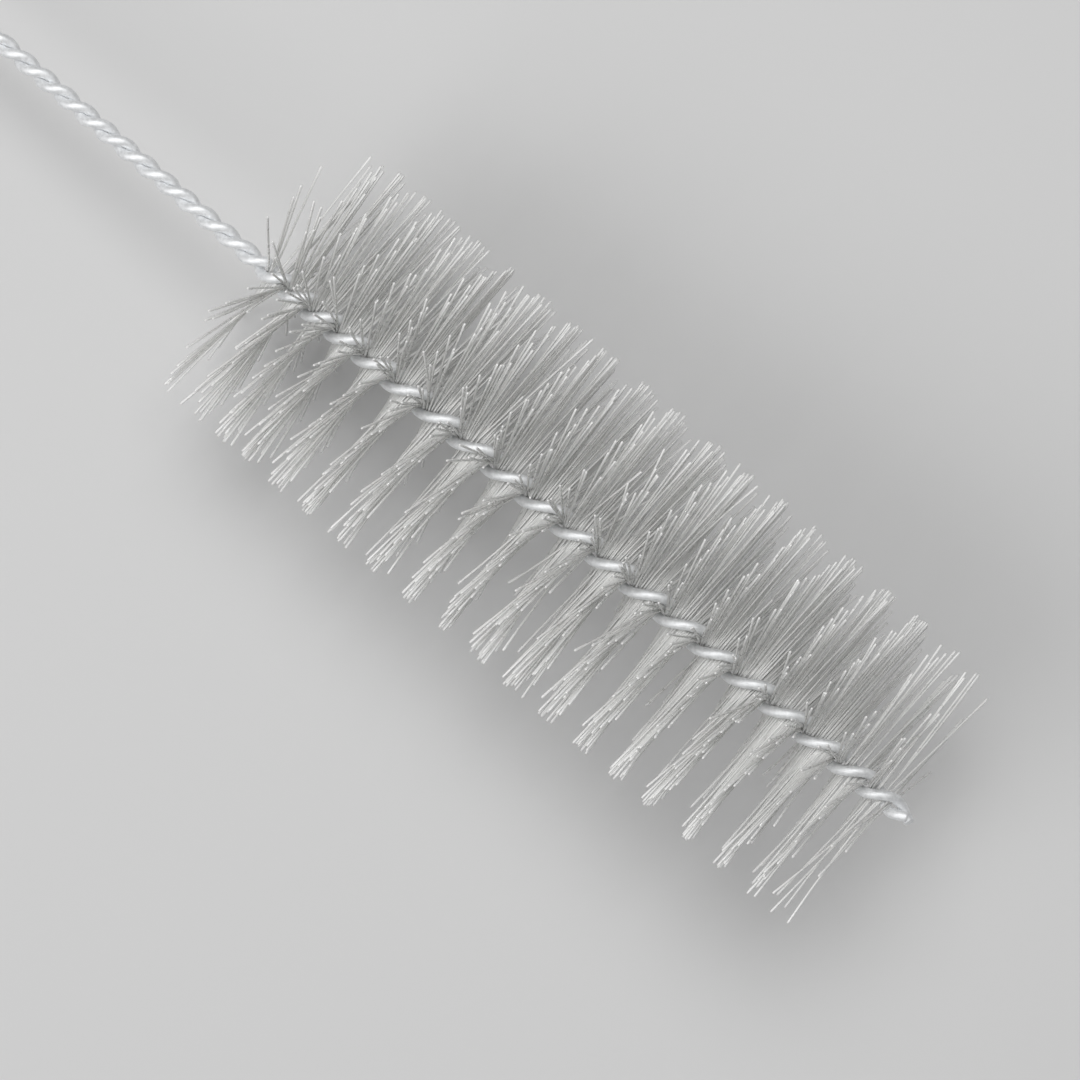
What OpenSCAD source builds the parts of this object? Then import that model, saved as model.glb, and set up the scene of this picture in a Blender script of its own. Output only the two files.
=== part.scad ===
// Twisted-wire bottle brush, as it comes to rest on a flat surface.
// One wire is bent double. The bend is the hanging eye, and the two legs are twisted together
// left-handed. In the head the legs grip straight nylon filaments, several rows deep, so the
// filaments fan out from the wire in a double spiral, one tuft to each half turn.
// The brush is drawn along +X, with its head starting at x = 0, and is then laid down.

/* [Wire] */
// Diameter of the wire
wire_d = 1.3; // [0.8:0.1:1.6]
// Length of the bare twisted stem, from the neck of the eye to the head
stem_len = 148; // [110:1:220]
// Full turns of the twist in the bare stem
stem_turns = 22; // [14:1:28]
// Length of bare wire past the head
nose_len = 2.5; // [2:0.5:8]

/* [Eye] */
// Inside width of the hanging eye
eye_w = 13; // [8:0.5:22]
// Length of the eye from its neck to the centre of its round end
eye_len = 14; // [10:0.5:24]

/* [Head] */
// Diameter of the head over the ends of the filaments
head_d = 40; // [24:1:60]
// Length of the bristled head
head_len = 102; // [70:1:140]
// Half turns of the twist in the head, each of which holds one tuft
tuft_count = 20; // [16:1:26]
// Diameter of one filament
filament_d = 0.3; // [0.2:0.05:0.5]
// Rows of filaments between the two legs
filament_rows = 3; // [1:1:5]

/* [Twist] */
// Length over which the twist starts at the neck of the eye
neck_ease = 4; // [2:0.5:8]
// Length over which the twist opens out at the start of the head
head_ease = 34; // [15:1:45]
// Length over which the twist closes again at the end of the head
nose_ease = 10; // [4:0.5:16]
// Length of bare stem over which the legs part to take the first filament
spread_len = 4; // [2:0.5:8]
// Length of the head over which they open to take all the rows
fill_len = 8; // [2:0.5:20]
// Length of the head over which they close again to one row
thin_len = 6; // [2:0.5:20]
// Length of bare nose over which they come together
close_len = 2; // [1:0.5:2]

/* [Fits] */
// Gap between neighbouring filaments along the head
filament_gap = 0.04; // [0.02:0.01:0.2]
// Gap between the outer filaments and the legs that grip them
grip_gap = 0.05; // [0.04:0.01:0.2]
// Gap between the two legs in the bare stem
leg_gap = 0.02; // [0.01:0.01:0.2]

/* [Hidden] */
// Faces round the wire, with a flat one towards the twist axis
wire_sides = 8;
// Degrees of twist between two rings of the wire
ring_turn = 40;
// Rings along each side and round the end of the eye
eye_side_rings = 6;
eye_end_rings = 12;
// Facets of a filament in OpenSCAD's own preview
filament_fn = 16;
HALF_TURN = 180;

wire_r = wire_d / 2;
head_r = head_d / 2;
neck_x = -stem_len;
tip_x = head_len + nose_len;

// The legs lie side by side in the stem, apart by one filament at each end of the head,
// and by all the rows between
stem_leg_r = wire_r + leg_gap / 2;
grip_leg_r = wire_r + grip_gap + filament_d / 2;
head_leg_r = grip_leg_r + (filament_rows - 1) * filament_d / 2;

// The eye is a half circle whose sides run in to the neck
eye_r = eye_w / 2 + wire_r;
eye_x = neck_x - eye_len;
eye_end_x = eye_x - eye_r;

// Filaments are evenly spaced along the head
filament_pitch = filament_d + filament_gap;
filament_count = floor(head_len / filament_pitch);
function filament_x(i) = head_len * (i + 0.5) / filament_count;
function filament_offset(i) =
    (i % filament_rows - (filament_rows - 1) / 2) * filament_d * filled(filament_x(i));

// Twist, in degrees a millimetre: the bare stem is twisted evenly, and the head more openly,
// by as much as gives the head its whole number of half turns. The nose is half-way between.
// A change of twist is quick at first and then slower, so its stretch counts a third for the
// old rate and the rest for the new.
stem_rate = 2 * HALF_TURN * stem_turns / (stem_len - neck_ease / 3);
tight_len = (head_ease + nose_ease) / 3;
head_rate = (HALF_TURN * tuft_count - stem_rate * tight_len) / (head_len - tight_len);
nose_rate = (stem_rate + head_rate) / 2;
twist_knots = [
    [neck_x, 0],
    [neck_x + neck_ease, stem_rate],
    [0, stem_rate],
    [head_ease, head_rate],
    [head_len - nose_ease, head_rate],
    [head_len, nose_rate],
    [tip_x, nose_rate]
];

function share(x, from, to) = min(max((x - from) / (to - from), 0), 1);
function smooth(t) = t * t * (3 - 2 * t);
function unit(v) = v / norm(v);
function sum(values) = [for (v = values) 1] * values;

// Degrees turned within one stretch, whose rate goes from a[1] to b[1], quickly at first
function stretch_turn(x, a, b) =
    let (t = share(x, a[0], b[0]))
    (b[0] - a[0]) * (b[1] * t + (a[1] - b[1]) * (1 - pow(1 - t, 3)) / 3);

// Degrees turned between the neck of the eye and x, and the x at which a turn is reached
function turned(x) =
    sum([for (i = [1 : len(twist_knots) - 1]) stretch_turn(x, twist_knots[i - 1], twist_knots[i])]);
function turned_x(turn, low = neck_x, high = tip_x, steps = 30) =
    let (mid = (low + high) / 2)
    steps == 0 ? mid
    : turned(mid) < turn ? turned_x(turn, mid, high, steps - 1)
    : turned_x(turn, low, mid, steps - 1);

// Angle of the first leg about +X, which falls along a left-hand twist
function leg_angle(x) = -turned(x);

// How far the legs are parted for one filament, and how far they are filled with all the rows
function parted(x) =
    smooth(share(x, -spread_len, 0)) * (1 - smooth(share(x, head_len, head_len + close_len)));
function filled(x) =
    smooth(share(x, 0, fill_len)) * (1 - smooth(share(x, head_len - thin_len, head_len)));
function leg_r(x) =
    stem_leg_r + (grip_leg_r - stem_leg_r) * parted(x) + (head_leg_r - grip_leg_r) * filled(x);

// The wire's centreline, as points that each have the direction out of the twist or the eye
function leg_out(x, side) = [0, cos(leg_angle(x) + side), sin(leg_angle(x) + side)];
function leg_station(x, side) = [[x, 0, 0] + leg_r(x) * leg_out(x, side), leg_out(x, side)];
function eye_side_station(t) =
    let (run = unit([-eye_len, (eye_r - stem_leg_r) * 6 * t * (1 - t), 0]))
    [[neck_x - eye_len * t, stem_leg_r + (eye_r - stem_leg_r) * smooth(t), 0], [run.y, -run.x, 0]];
function eye_end_station(a) = [[eye_x + eye_r * cos(a), eye_r * sin(a), 0], [cos(a), sin(a), 0]];
function across(station) = [for (v = station) [v.x, -v.y, v.z]];

leg_rings = ceil(turned(tip_x) / ring_turn);
leg_xs = [for (i = [0 : leg_rings]) turned_x(turned(tip_x) * i / leg_rings)];
eye_side = [for (i = [1 : eye_side_rings - 1]) eye_side_station(i / eye_side_rings)];
wire_stations = concat(
    [for (i = [leg_rings : -1 : 0]) leg_station(leg_xs[i], 0)],
    eye_side,
    [for (i = [0 : eye_end_rings]) eye_end_station(90 + HALF_TURN * i / eye_end_rings)],
    [for (i = [len(eye_side) - 1 : -1 : 0]) across(eye_side[i])],
    [for (x = leg_xs) leg_station(x, HALF_TURN)]
);

// At rest the brush stands on the end of its eye and on its lowest filament
function filament_tip(i, end) =
    let (x = filament_x(i), a = leg_angle(x), y = filament_offset(i), z = end * head_r)
    [x, y * cos(a) - z * sin(a), y * sin(a) + z * cos(a)];
filament_tips = [for (i = [0 : filament_count - 1], end = [-1, 1]) filament_tip(i, end)];
function touch_tilt(p) =
    atan2(-p.z, p.x - eye_end_x) - asin(wire_r / norm([p.x - eye_end_x, p.z]));
rest_tilt = max([for (p = filament_tips) touch_tilt(p)]);

// Length of the brush at rest, from the centre of the wire at the end of the eye
function rest_x(p) = (p.x - eye_end_x) * cos(rest_tilt) - p.z * sin(rest_tilt);
rest_len = max(rest_x([tip_x, 0, 0]), max([for (p = filament_tips) rest_x(p)]));

function tuft_name(k) = str(k < 10 ? "tuft_0" : "tuft_", k);

// Lays the brush on z = 0, with the middle of its length at the origin
module at_rest() {
    translate([(wire_r - rest_len) / 2, 0, wire_r])
        rotate([0, -rest_tilt, 0])
            translate([-eye_end_x, 0, 0])
                children();
}

// A round wire through a list of stations
module swept_wire(stations) {
    last = len(stations) - 1;
    rings = [for (i = [0 : last])
        let (
            run = unit(stations[min(i + 1, last)][0] - stations[max(i - 1, 0)][0]),
            side = unit(cross(run, stations[i][1])),
            out = cross(side, run)
        )
        for (k = [0 : wire_sides - 1])
            let (a = 360 * (k + 0.5) / wire_sides)
            stations[i][0] + wire_r * (cos(a) * out + sin(a) * side)
    ];
    walls = [for (i = [0 : last - 1], k = [0 : wire_sides - 1])
        let (a = i * wire_sides + k, b = i * wire_sides + (k + 1) % wire_sides)
        each [[a, a + wire_sides, b], [b, a + wire_sides, b + wire_sides]]
    ];
    first_end = [for (k = [0 : wire_sides - 1]) k];
    last_end = [for (k = [wire_sides - 1 : -1 : 0]) last * wire_sides + k];
    polyhedron(rings, concat(walls, [first_end, last_end]));
}

// The wire: two twisted legs, and the eye where it is bent double
module twisted_wire() {
    color("silver") at_rest() swept_wire(wire_stations);
}

// One straight filament, across the line between the legs
module filament(i) {
    translate([filament_x(i), 0, 0])
        rotate([leg_angle(filament_x(i)), 0, 0])
            translate([0, filament_offset(i), 0])
                cylinder(h = head_d, d = filament_d, center = true, $fn = filament_fn);
}

// The filaments that one half turn of the legs grips
module tuft(k) {
    color("gainsboro") at_rest()
        for (i = [0 : filament_count - 1])
            if (ceil((turned(filament_x(i)) - turned(0)) / HALF_TURN) == k)
                filament(i);
}

twisted_wire();
for (k = [1 : tuft_count])
    tuft(k);
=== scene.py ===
import math

import bpy
import numpy as np
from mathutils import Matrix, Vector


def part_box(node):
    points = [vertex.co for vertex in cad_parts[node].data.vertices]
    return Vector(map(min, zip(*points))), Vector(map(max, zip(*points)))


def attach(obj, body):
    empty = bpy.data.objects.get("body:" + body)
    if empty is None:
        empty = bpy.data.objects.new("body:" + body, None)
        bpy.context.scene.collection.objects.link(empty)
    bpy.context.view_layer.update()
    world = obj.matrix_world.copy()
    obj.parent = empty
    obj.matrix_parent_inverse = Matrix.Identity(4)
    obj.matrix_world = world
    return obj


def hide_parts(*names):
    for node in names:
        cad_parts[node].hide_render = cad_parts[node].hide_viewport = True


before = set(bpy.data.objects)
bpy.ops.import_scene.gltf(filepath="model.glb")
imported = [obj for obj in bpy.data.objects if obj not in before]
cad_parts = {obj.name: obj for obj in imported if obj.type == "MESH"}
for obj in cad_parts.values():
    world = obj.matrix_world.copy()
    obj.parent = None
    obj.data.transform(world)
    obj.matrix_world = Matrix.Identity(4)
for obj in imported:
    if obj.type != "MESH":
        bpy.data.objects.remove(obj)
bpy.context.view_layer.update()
print("frame loaded")

mm = 0.001

# the brush along its own axis, in millimetres: x = 0 where the bristles start, the tip towards +x
brush = dict(
    wireR=0.65,         # radius of the wire
    stemLen=148.0,      # bare twisted stem, from the neck of the eye to the bristles
    stemTurns=22,       # full turns of the twist in the stem
    noseLen=2.5,        # bare wire past the bristles
    eyeW=13.0,          # inside width of the hanging eye
    eyeLen=14.0,        # neck of the eye to the centre of its round end
    headR=20.0,         # reach of the bristles
    headLen=102.0,      # length of the bristled head
    tufts=20,           # half turns in the head, one tuft each
    neckEase=4.0,       # length over which the twist starts at the eye
    headEase=34.0,      # length over which it opens out in the head
    noseEase=10.0,      # length over which it closes again at the tip
    spreadLen=4.0,      # bare stem over which the legs part for the first bristle
    fillLen=8.0,        # head over which they open for all the rows
    thinLen=6.0,        # head over which they close again to one row
    closeLen=2.0,       # bare nose over which they come together
    stemLegR=0.66,      # wire centre to twist axis, in the stem
    gripLegR=0.85,      # round one bristle
    headLegR=1.15,      # round all the rows
)
neckX = -brush["stemLen"]
tipX = brush["headLen"] + brush["noseLen"]
eyeR = brush["eyeW"] / 2 + brush["wireR"]
eyeX = neckX - brush["eyeLen"]
eyeEndX = eyeX - eyeR

# twist in degrees a millimetre: even in the bare stem, more open in the head, between them at the nose
stemRate = 360 * brush["stemTurns"] / (brush["stemLen"] - brush["neckEase"] / 3)
tightLen = (brush["headEase"] + brush["noseEase"]) / 3
headRate = (180 * brush["tufts"] - stemRate * tightLen) / (brush["headLen"] - tightLen)
noseRate = (stemRate + headRate) / 2
knotX = np.array([neckX, neckX + brush["neckEase"], 0, brush["headEase"],
                  brush["headLen"] - brush["noseEase"], brush["headLen"], tipX])
knotRate = np.array([0, stemRate, stemRate, headRate, headRate, noseRate, noseRate])
twistTable = 20001      # stations in the table that turnedX reads back


# 0 to 1 as x goes from one end of a stretch to the other
def share(x, start, end):
    return np.clip((x - start) / (end - start), 0, 1)


# smooth step: t squared times (3 - 2t)
def smooth(t):
    return t * t * (3 - 2 * t)


# vectors divided by their own length
def unit(v):
    return v / np.linalg.norm(v, axis=-1, keepdims=True)


# degrees turned since the neck: the sum, over the stretches, of a rate that goes
# from the old value to the new one with the square of what is left of the stretch
def turned(x):
    x = np.asarray(x, float)[..., None]
    t = share(x, knotX[:-1], knotX[1:])
    old, new = knotRate[:-1], knotRate[1:]
    return (np.diff(knotX) * (new * t + (old - new) * (1 - (1 - t) ** 3) / 3)).sum(-1)


# the x at which a turn is reached, read back from a fine table of turned(x)
def turnedX(turn):
    x = np.linspace(neckX, tipX, twistTable)
    return np.interp(turn, turned(x), x)


# left-hand twist: the angle about +x falls along the brush
def legAngle(x):
    return -np.radians(turned(x))


# 0 to 1 to 0 along the head, as the legs open for all the rows and close again
def filled(x):
    opened = smooth(share(x, 0, brush["fillLen"]))
    closed = smooth(share(x, brush["headLen"] - brush["thinLen"], brush["headLen"]))
    return opened * (1 - closed)


# wire centre to twist axis: close in the stem and at the tip, parted for one bristle at each
# end of the head, and for all the rows between
def legR(x):
    pastHead = share(x, brush["headLen"], brush["headLen"] + brush["closeLen"])
    parted = smooth(share(x, -brush["spreadLen"], 0)) * (1 - smooth(pastHead))
    one, rows = brush["gripLegR"] - brush["stemLegR"], brush["headLegR"] - brush["gripLegR"]
    return brush["stemLegR"] + one * parted + rows * filled(x)


# the brush lies tilted: its axis runs through the middles of the first and the last tuft
firstTuft = np.mean(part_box("tuft_01"), axis=0)
lastTuft = np.mean(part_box("tuft_%02d" % brush["tufts"]), axis=0)
wireLow = np.array(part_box("twisted_wire")[0])
alongAxis = unit((lastTuft - firstTuft) * [1, 0, 1])
aboveAxis = np.array([-alongAxis[2], 0, alongAxis[0]])
eyeEnd = np.array([wireLow[0] + brush["wireR"] * mm, 0, brush["wireR"] * mm])


# brush millimetres to metres in the frame: along the tilted axis, sideways, and square to both
def toFrame(p):
    p = np.asarray(p, float)
    along = (p[..., 0:1] - eyeEndX) * alongAxis
    return eyeEnd + mm * (along + p[..., 1:2] * np.array([0, 1, 0]) + p[..., 2:3] * aboveAxis)


# a mesh object from arrays: vertices, and blocks of faces, each face a row of corner indices
def meshObject(name, verts, blocks, material):
    mesh = bpy.data.meshes.new(name)
    corners = np.concatenate([b.ravel() for b in blocks]).astype(np.int32)
    sizes = np.concatenate([np.full(len(b), b.shape[1]) for b in blocks]).astype(np.int32)
    mesh.vertices.add(len(verts))
    mesh.vertices.foreach_set("co", np.asarray(verts, np.float32).ravel())
    mesh.loops.add(len(corners))
    mesh.loops.foreach_set("vertex_index", corners)
    mesh.polygons.add(len(sizes))
    mesh.polygons.foreach_set("loop_start", np.cumsum(sizes).astype(np.int32) - sizes)
    mesh.polygons.foreach_set("loop_total", sizes)
    mesh.polygons.foreach_set("use_smooth", np.ones(len(sizes), bool))
    mesh.update(calc_edges=True)
    mesh.validate()
    mesh.materials.append(material)
    piece = bpy.data.objects.new(name, mesh)
    bpy.context.scene.collection.objects.link(piece)
    return piece


# four floats per vertex, as a named colour attribute that a material reads
def addColour(piece, name, values):
    layer = piece.data.color_attributes.new(name=name, type="FLOAT_COLOR", domain="POINT")
    layer.data.foreach_set("color", np.asarray(values, np.float32).ravel())


# rings round a path: centre + radius (cos a out + sin a side), side square to run and out
def ringsAround(centre, out, radius, sides):
    run = unit(np.gradient(centre, axis=-2))
    side = unit(np.cross(run, out))
    out = np.cross(side, run)
    a = 2 * np.pi * (np.arange(sides) + 0.5) / sides
    ring = np.cos(a)[:, None] * out[..., None, :] + np.sin(a)[:, None] * side[..., None, :]
    return centre[..., None, :] + np.asarray(radius)[..., None, None] * ring


# quads between neighbouring rings, wrapped round, wound so that they face out
def tubeQuads(rings, sides):
    i = np.arange(rings - 1)[:, None] * sides
    j = np.arange(sides)[None, :]
    k = (j + 1) % sides
    return np.stack([i + j, i + k, i + sides + k, i + sides + j], -1).reshape(-1, 4)


# shader node with its inputs set by name
def addNode(tree, kind, **inputs):
    node = tree.nodes.new(kind)
    for key, value in inputs.items():
        node.inputs[key].default_value = value
    return node


# value remapped from one span to another
def remap(tree, source, low, high, toLow, toHigh):
    node = tree.nodes.new("ShaderNodeMapRange")
    spans = {"From Min": low, "From Max": high, "To Min": toLow, "To Max": toHigh}
    for key, value in spans.items():
        node.inputs[key].default_value = value
    tree.links.new(source, node.inputs["Value"])
    return node.outputs["Result"]


# a new principled material, with its node tree and its shader
def newMaterial(name):
    material = bpy.data.materials.new(name)
    material.use_nodes = True
    tree = material.node_tree
    return material, tree, tree.nodes["Principled BSDF"]


noiseSpan = (0.3, 0.7)      # most of a noise texture lies between these

galvanised = dict(
    dark=(0.76, 0.77, 0.78, 1),
    light=(0.94, 0.95, 0.96, 1),
    toneSpan=(0.32, 0.68),      # noise at which the zinc is dark and light
    mottle=1.6,                 # zinc patches a millimetre
    lines=26.0,                 # drawing lines round the wire
    lineChange=0.35,            # how much they change in a millimetre along it
    lineDepth=0.02,             # millimetres
    lineShare=0.5,              # of the gloss that follows the lines, the rest follows the patches
    glossSpan=(0.15, 0.85),     # where most of that sum lies
    roughLow=0.52,
    roughHigh=0.68,
    metal=0.7,                  # the rest is dull zinc bloom
    bump=0.15,
)


# bright drawn wire: zinc patches in tone and gloss, fine drawing lines along the wire as bump
def galvanisedWire():
    material, tree, shader = newMaterial("galvanisedWire")
    link = tree.links.new
    place = tree.nodes.new("ShaderNodeTexCoord")
    patches = addNode(tree, "ShaderNodeTexNoise", Scale=galvanised["mottle"] / mm, Detail=4.0,
                      Roughness=0.6)
    link(place.outputs["Object"], patches.inputs["Vector"])
    tone = tree.nodes.new("ShaderNodeValToRGB")
    tones = galvanised["dark"], galvanised["light"]
    for stop, position, colour in zip(tone.color_ramp.elements, galvanised["toneSpan"], tones):
        stop.position = position
        stop.color = colour
    link(patches.outputs["Fac"], tone.inputs["Fac"])
    link(tone.outputs["Color"], shader.inputs["Base Color"])

    stretch = tree.nodes.new("ShaderNodeMapping")
    stretch.inputs["Scale"].default_value = (galvanised["lines"], galvanised["lineChange"], 1)
    link(place.outputs["UV"], stretch.inputs["Vector"])
    lines = addNode(tree, "ShaderNodeTexNoise", Scale=1.0, Detail=3.0, Roughness=0.55)
    link(stretch.outputs["Vector"], lines.inputs["Vector"])
    gloss = tree.nodes.new("ShaderNodeMath")
    gloss.operation = "MULTIPLY_ADD"
    gloss.inputs[1].default_value = galvanised["lineShare"]
    link(lines.outputs["Fac"], gloss.inputs[0])
    link(remap(tree, patches.outputs["Fac"], *noiseSpan, 0.0, 1 - galvanised["lineShare"]),
         gloss.inputs[2])
    link(remap(tree, gloss.outputs[0], *galvanised["glossSpan"],
               galvanised["roughLow"], galvanised["roughHigh"]), shader.inputs["Roughness"])
    bump = addNode(tree, "ShaderNodeBump", Strength=galvanised["bump"],
                   Distance=galvanised["lineDepth"] * mm)
    link(lines.outputs["Fac"], bump.inputs["Height"])
    link(bump.outputs["Normal"], shader.inputs["Normal"])
    shader.inputs["Metallic"].default_value = galvanised["metal"]
    return material


nylon = dict(
    deep=(0.80, 0.80, 0.785, 1),
    pale=(0.96, 0.96, 0.945, 1),
    endGlint=(0.98, 0.98, 0.97, 1),      # painted highlight in white at the cut ends
    cloud=0.7,                      # cloudy patches a millimetre
    ownShade=0.6,                   # of the shade that is a filament's own, the rest is clouds
    roughLow=0.22,
    roughHigh=0.42,
    clear=0.18,                     # how much light goes through
    ior=1.53,
)


# natural nylon: each filament a little lighter or deeper, cloudy along its length, with a painted
# highlight in white at the cut ends
def naturalNylon():
    material, tree, shader = newMaterial("naturalNylon")
    link = tree.links.new
    fibre = tree.nodes.new("ShaderNodeAttribute")
    fibre.attribute_name = "fibre"
    parts = tree.nodes.new("ShaderNodeSeparateColor")
    link(fibre.outputs["Color"], parts.inputs["Color"])
    place = tree.nodes.new("ShaderNodeTexCoord")
    cloud = addNode(tree, "ShaderNodeTexNoise", Scale=nylon["cloud"] / mm, Detail=2.0)
    link(place.outputs["Object"], cloud.inputs["Vector"])
    shade = tree.nodes.new("ShaderNodeMath")
    shade.operation = "MULTIPLY_ADD"
    shade.inputs[1].default_value = nylon["ownShade"]
    link(parts.outputs["Red"], shade.inputs[0])
    link(remap(tree, cloud.outputs["Fac"], *noiseSpan, 0.0, 1 - nylon["ownShade"]), shade.inputs[2])
    body = tree.nodes.new("ShaderNodeMix")
    body.data_type = "RGBA"
    body.inputs["A"].default_value = nylon["deep"]
    body.inputs["B"].default_value = nylon["pale"]
    link(shade.outputs[0], body.inputs["Factor"])
    # painted highlight: the colour is mixed towards white at the cut ends of the filaments
    ends = tree.nodes.new("ShaderNodeMix")
    ends.data_type = "RGBA"
    ends.inputs["B"].default_value = nylon["endGlint"]
    link(parts.outputs["Green"], ends.inputs["Factor"])
    link(body.outputs["Result"], ends.inputs["A"])
    link(ends.outputs["Result"], shader.inputs["Base Color"])
    link(remap(tree, cloud.outputs["Fac"], *noiseSpan, nylon["roughLow"], nylon["roughHigh"]),
         shader.inputs["Roughness"])
    shader.inputs["IOR"].default_value = nylon["ior"]
    shader.inputs["Transmission Weight"].default_value = nylon["clear"]
    return material


wireSkin = galvanisedWire()
nylonSkin = naturalNylon()

twistedWire = dict(
    sides=16,
    ringTurn=12.0,      # degrees of twist between two rings
    eyeRings=28,        # rings along each side and round the end of the eye
    cutSlant=0.12,      # the cutter's slope at the two ends
    cutBevel=0.12,      # rounded edge of a cut end, millimetres
    cutReach=0.35,      # last ring to the rim of a cut end, in wire radii
    cutRound=0.12,      # rim to its flat face, in wire radii
    shortLeg=0.5,       # one leg ends this much before the other
)


# one leg of the helix: x along the axis, and legR(x) out from it at the leg's angle
def legPath(x, side):
    a = legAngle(x) + side
    out = np.stack([0 * a, np.cos(a), np.sin(a)], -1)
    return np.stack([x, 0 * x, 0 * x], -1) + legR(x)[:, None] * out, out


# the whole wire: along one leg to the neck, out by a smooth step, round half a circle, and back
def wirePath():
    lastTurn = turned(tipX)
    x = turnedX(np.linspace(0, lastTurn, math.ceil(lastTurn / twistedWire["ringTurn"]) + 1))
    first, firstOut = legPath(x[::-1], 0)
    second, secondOut = legPath(x[x < tipX - twistedWire["shortLeg"]], np.pi)

    part = np.linspace(0, 1, twistedWire["eyeRings"] + 1)
    t = part[1:-1]
    reach = eyeR - brush["stemLegR"]
    run = unit(np.stack([-brush["eyeLen"] + 0 * t, reach * 6 * t * (1 - t), 0 * t], -1))
    side = np.stack([neckX - brush["eyeLen"] * t, brush["stemLegR"] + reach * smooth(t), 0 * t], -1)
    sideOut = np.stack([run[:, 1], -run[:, 0], 0 * t], -1)
    a = np.pi / 2 + np.pi * part
    endOut = np.stack([np.cos(a), np.sin(a), 0 * a], -1)
    end = np.array([eyeX, 0, 0]) + eyeR * endOut
    mirror = np.array([1, -1, 1])
    centre = np.concatenate([first, side, end, (side * mirror)[::-1], second])
    out = np.concatenate([firstOut, sideOut, endOut, (sideOut * mirror)[::-1], secondOut])
    return centre, out


# a cut end: rim and face are the last ring moved along the wire, on a slope of cos a,
# with the face drawn in by the bevel and closed at its middle
def cutEnd(ring, run):
    middle = ring.mean(0)
    a = 2 * np.pi * (np.arange(len(ring)) + 0.5) / len(ring)
    slope = twistedWire["cutSlant"] * brush["wireR"] * np.cos(a)[:, None] * run
    toRim = twistedWire["cutReach"] * brush["wireR"] * run
    toFace = toRim + twistedWire["cutRound"] * brush["wireR"] * run
    inset = 1 - twistedWire["cutBevel"] / brush["wireR"]
    face = middle + (ring - middle + slope) * inset + toFace
    return ring + slope + toRim, face, face.mean(0)


# the wire: rings round its path, a cut end on each leg, quads between the rings, fans on the ends
def makeWire():
    centre, out = wirePath()
    rings = ringsAround(centre, out, np.full(len(centre), brush["wireR"]), twistedWire["sides"])
    startRim, startFace, startPole = cutEnd(rings[0], unit(centre[0] - centre[1]))
    endRim, endFace, endPole = cutEnd(rings[-1], unit(centre[-1] - centre[-2]))
    rings = np.concatenate([[startFace, startRim], rings, [endRim, endFace]])

    count, sides = rings.shape[:2]
    verts = np.concatenate([rings.reshape(-1, 3), [startPole, endPole]])
    j = np.arange(sides)
    k = (j + 1) % sides
    poles = count * sides
    last = (count - 1) * sides
    startFan = np.stack([np.full(sides, poles), k, j], -1)
    endFan = np.stack([np.full(sides, poles + 1), last + j, last + k], -1)
    quads = tubeQuads(count, sides)
    piece = meshObject("twistedWire", toFrame(verts), [quads, startFan, endFan], wireSkin)

    # UV: once round the wire by millimetres along it
    steps = np.linalg.norm(np.diff(rings.mean(1), axis=0), axis=1)
    length = np.concatenate([[0], np.cumsum(steps)])
    column = np.tile(np.stack([j, j + 1, j + 1, j], -1), (count - 1, 1)) / sides
    uvQuads = np.stack([column, length[quads // sides]], -1).reshape(-1, 2)
    uvFans = np.zeros((startFan.size + endFan.size, 2))
    layer = piece.data.uv_layers.new(name="wireMap")
    layer.data.foreach_set("uv", np.concatenate([uvQuads, uvFans]).astype(np.float32).ravel())
    return piece


wire = makeWire()
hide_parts("twisted_wire")
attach(wire, "root")
print("wire done,", len(wire.data.polygons), "faces")

bristle = dict(
    radius=0.15,
    perMm=9.6,              # filaments gripped by a millimetre of the head
    sides=5,
    # along a filament, in reaches, and its radius there: the cutter leaves a small bead
    stations=(-1, -0.985, -0.74, -0.46, -0.16, 0.16, 0.46, 0.74, 0.985, 1),
    bead=(0.8, 1.15, 1, 1, 1, 1, 1, 1, 1.15, 0.8),
    endGlintFrom=0.98,           # painted highlight from here on, in reaches
    packed=0.3,             # how far from the twist axis a filament is gripped
    fan=1.6,                # scatter about the axis, degrees
    lean=1.4,               # scatter along the brush, degrees
    looseness=(0.7, 1.6),   # some tufts scatter less and some more, the end ones most
    strays=0.035,           # share of filaments that stand out of line
    strayScatter=3.5,       # and their own looseness
    strayShort=0.45,        # and how short they can be, in reaches
    bow=0.35,               # sideways curve at the ends, millimetres
    inside=0.1,             # cut this much inside the head, millimetres
    uneven=0.22,            # scatter of the cut length, millimetres
    thinStart=4.0,          # head length over which the first bristles are sparser
    thinEnd=14.0,           # head length over which the last bristles are sparser
    thinnest=0.14,          # share of them left at each end
    backLean=5.0,           # the first bristles lean back towards the stem, degrees
    backFade=4.0,           # head length over which that fades, millimetres
    seed=7,
)


# where a half turn of the legs grips its filaments: evenly with some scatter, fewer at the head's ends
def gripPlaces(number, random):
    low, high = turnedX(turned(0) + 180.0 * np.array([number - 1, number]))
    count = int(round((high - low) * bristle["perMm"]))
    x = low + (high - low) * (np.arange(count) + random.random(count)) / count
    fromEnd = brush["headLen"] - x
    full = np.minimum(share(x, 0, bristle["thinStart"]), share(fromEnd, 0, bristle["thinEnd"]))
    return x[random.random(count) < bristle["thinnest"] + (1 - bristle["thinnest"]) * full]


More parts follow.
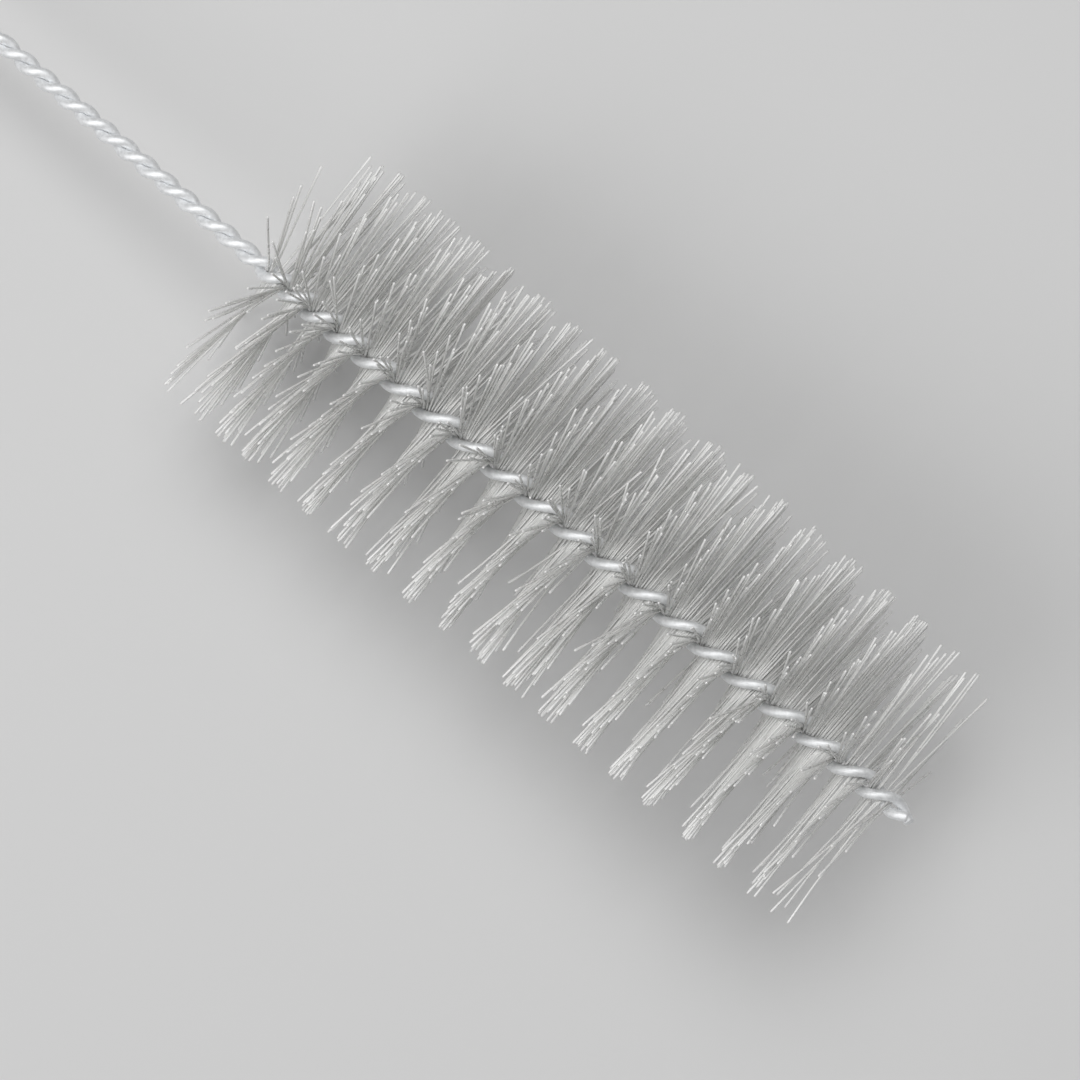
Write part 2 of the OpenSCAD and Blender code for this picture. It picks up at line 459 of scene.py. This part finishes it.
# the centre lines of a tuft: base + reach * direction + bow * reach squared, with a scatter of
# its own on each side of the wire. The direction from leg to leg comes with them.
def centreLines(number, x, random):
    count = len(x)
    s = np.array(bristle["stations"], float)
    onSide = (s > 0).astype(int)
    stray = random.random((count, 2)) < bristle["strays"]
    tight, loose = bristle["looseness"]
    loose = loose if number in (1, brush["tufts"]) else random.uniform(tight, loose)
    scatter = np.radians(np.where(stray, bristle["strayScatter"], loose))
    fan = scatter * random.normal(0, bristle["fan"], (count, 2))
    lean = scatter * random.normal(0, bristle["lean"], (count, 2))
    lean -= np.radians(bristle["backLean"]) * np.exp(-x / bristle["backFade"])[:, None]
    bow = random.normal(0, bristle["bow"], (count, 2, 2))
    uneven = np.abs(random.normal(0, bristle["uneven"], (count, 2)))
    reach = brush["headR"] - bristle["inside"] - uneven
    reach *= np.where(stray, random.uniform(bristle["strayShort"], 1, (count, 2)), 1)
    offset = bristle["packed"] * filled(x) * random.uniform(-1, 1, count)

    angle = legAngle(x)
    across = np.stack([0 * x, np.cos(angle), np.sin(angle)], -1)
    base = np.stack([x, 0 * x, 0 * x], -1) + offset[:, None] * across
    turn = angle[:, None] + np.pi / 2 + fan
    way = np.stack([np.tan(lean), np.cos(turn), np.sin(turn)], -1)
    way = unit(way * np.array([[[-1, 1, 1], [1, 1, 1]]]))
    along = s[None, :, None] * reach[:, onSide, None] * way[:, onSide]
    aside = bow[:, onSide, 0:1] * across[:, None] + bow[:, onSide, 1:2] * [1, 0, 0]
    return base[:, None] + along + (s ** 2)[None, :, None] * aside, across


# one tuft: rings round each centre line, quads between them and a flat cap on each end
def makeTuft(number, random):
    centre, across = centreLines(number, gripPlaces(number, random), random)
    count, stations = centre.shape[:2]
    sides = bristle["sides"]
    radius = bristle["radius"] * np.array(bristle["bead"]) * np.ones((count, 1))
    rings = toFrame(ringsAround(centre, across[:, None] + 0 * centre, radius, sides))
    rings[..., 2] = np.maximum(rings[..., 2], 0.0)      # the lowest ends bend on the surface below
    first = np.arange(count)[:, None, None] * stations * sides
    quads = (first + tubeQuads(stations, sides)).reshape(-1, 4)
    j = np.arange(sides)
    caps = (first + np.stack([j[::-1], j + (stations - 1) * sides])).reshape(-1, sides)
    piece = meshObject("bristles%02d" % number, rings.reshape(-1, 3), [quads, caps], nylonSkin)

    # colour channels: own shade in red, the painted highlight at the cut ends in green
    shade = np.broadcast_to(random.random(count)[:, None, None], (count, stations, sides))
    # the stations at the filament ends that get the painted highlight
    inEndGlint = np.abs(np.array(bristle["stations"])) > bristle["endGlintFrom"]
    endGlint = np.broadcast_to(inEndGlint[None, :, None], shade.shape)
    addColour(piece, "fibre", np.stack([shade, endGlint, 0 * shade, 1 + 0 * shade], -1))
    return piece


random = np.random.default_rng(bristle["seed"])
for number in range(1, brush["tufts"] + 1):
    tuft = makeTuft(number, random)
    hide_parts("tuft_%02d" % number)
    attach(tuft, "root")
print("bristles done")

stage = dict(
    floorSize=6.0,
    floorColour=(0.60, 0.60, 0.60, 1),
    floorRough=0.7,
    world=0.26,
    key=dict(at=(-0.11, 0.226, 0.85), size=0.42, power=4.0),
    fill=dict(at=(-0.24, -0.72, 0.95), size=0.80, power=6.5),
)


# one flat square, wide enough that its edge is never seen
def makeFloor():
    material, _, shader = newMaterial("paleFloor")
    shader.inputs["Base Color"].default_value = stage["floorColour"]
    shader.inputs["Roughness"].default_value = stage["floorRough"]
    half = stage["floorSize"] / 2
    corners = np.array([[-half, -half, 0], [half, -half, 0], [half, half, 0], [-half, half, 0]])
    floor = meshObject("floor", corners, [np.array([[0, 1, 2, 3]])], material)


# a square soft box aimed at the middle of the head: tipped from the vertical, then turned about it
def softBox(name, at, size, power):
    lamp = bpy.data.lights.new(name, "AREA")
    lamp.size = size
    lamp.energy = power
    box = bpy.data.objects.new(name, lamp)
    bpy.context.scene.collection.objects.link(box)
    box.location = at
    aim = toFrame([brush["headLen"] / 2, 0, 0]) - np.array(at)
    tip = math.atan2(math.hypot(aim[0], aim[1]), -aim[2])
    box.rotation_euler = (tip, 0, math.atan2(aim[0], -aim[1]) + math.pi)


makeFloor()
softBox("keyLight", **stage["key"])
softBox("fillLight", **stage["fill"])
world = bpy.data.worlds.new("studio")
world.use_nodes = True
world.node_tree.nodes["Background"].inputs["Color"].default_value = (1, 1, 1, 1)
world.node_tree.nodes["Background"].inputs["Strength"].default_value = stage["world"]
bpy.context.scene.world = world

view = dict(
    frameWidth=1080.0,          # pixels
    pixelsPerMm=8.13,           # at the middle of the head
    headStart=(265.7, 268.3),   # pixel of the twist axis where the bristles start
    turn=40.6,                  # the brush runs down to the right by this many degrees
    height=0.9,
    sensor=36.0,
)


# camera straight above, turned about the vertical, its middle placed by the pixel of the head's start
def makeCamera():
    turn = math.radians(view["turn"])
    metresPerPixel = mm / view["pixelsPerMm"]
    dx, dy = (view["frameWidth"] / 2 - pixel for pixel in view["headStart"])
    along = (dx * math.cos(turn) + dy * math.sin(turn)) * metresPerPixel
    aside = (dx * math.sin(turn) - dy * math.cos(turn)) * metresPerPixel
    start = toFrame([0, 0, 0])
    middle = toFrame([brush["headLen"] / 2, 0, 0])
    lens = bpy.data.cameras.new("camera")
    lens.sensor_width = view["sensor"]
    lens.lens = view["sensor"] * (view["height"] - middle[2]) / (view["frameWidth"] * metresPerPixel)
    camera = bpy.data.objects.new("camera", lens)
    bpy.context.scene.collection.objects.link(camera)
    camera.location = (start[0] + along, start[1] + aside, view["height"])
    camera.rotation_euler = (0, 0, turn)
    bpy.context.scene.camera = camera


makeCamera()
bpy.context.scene.view_settings.view_transform = "Standard"
print("stage done")
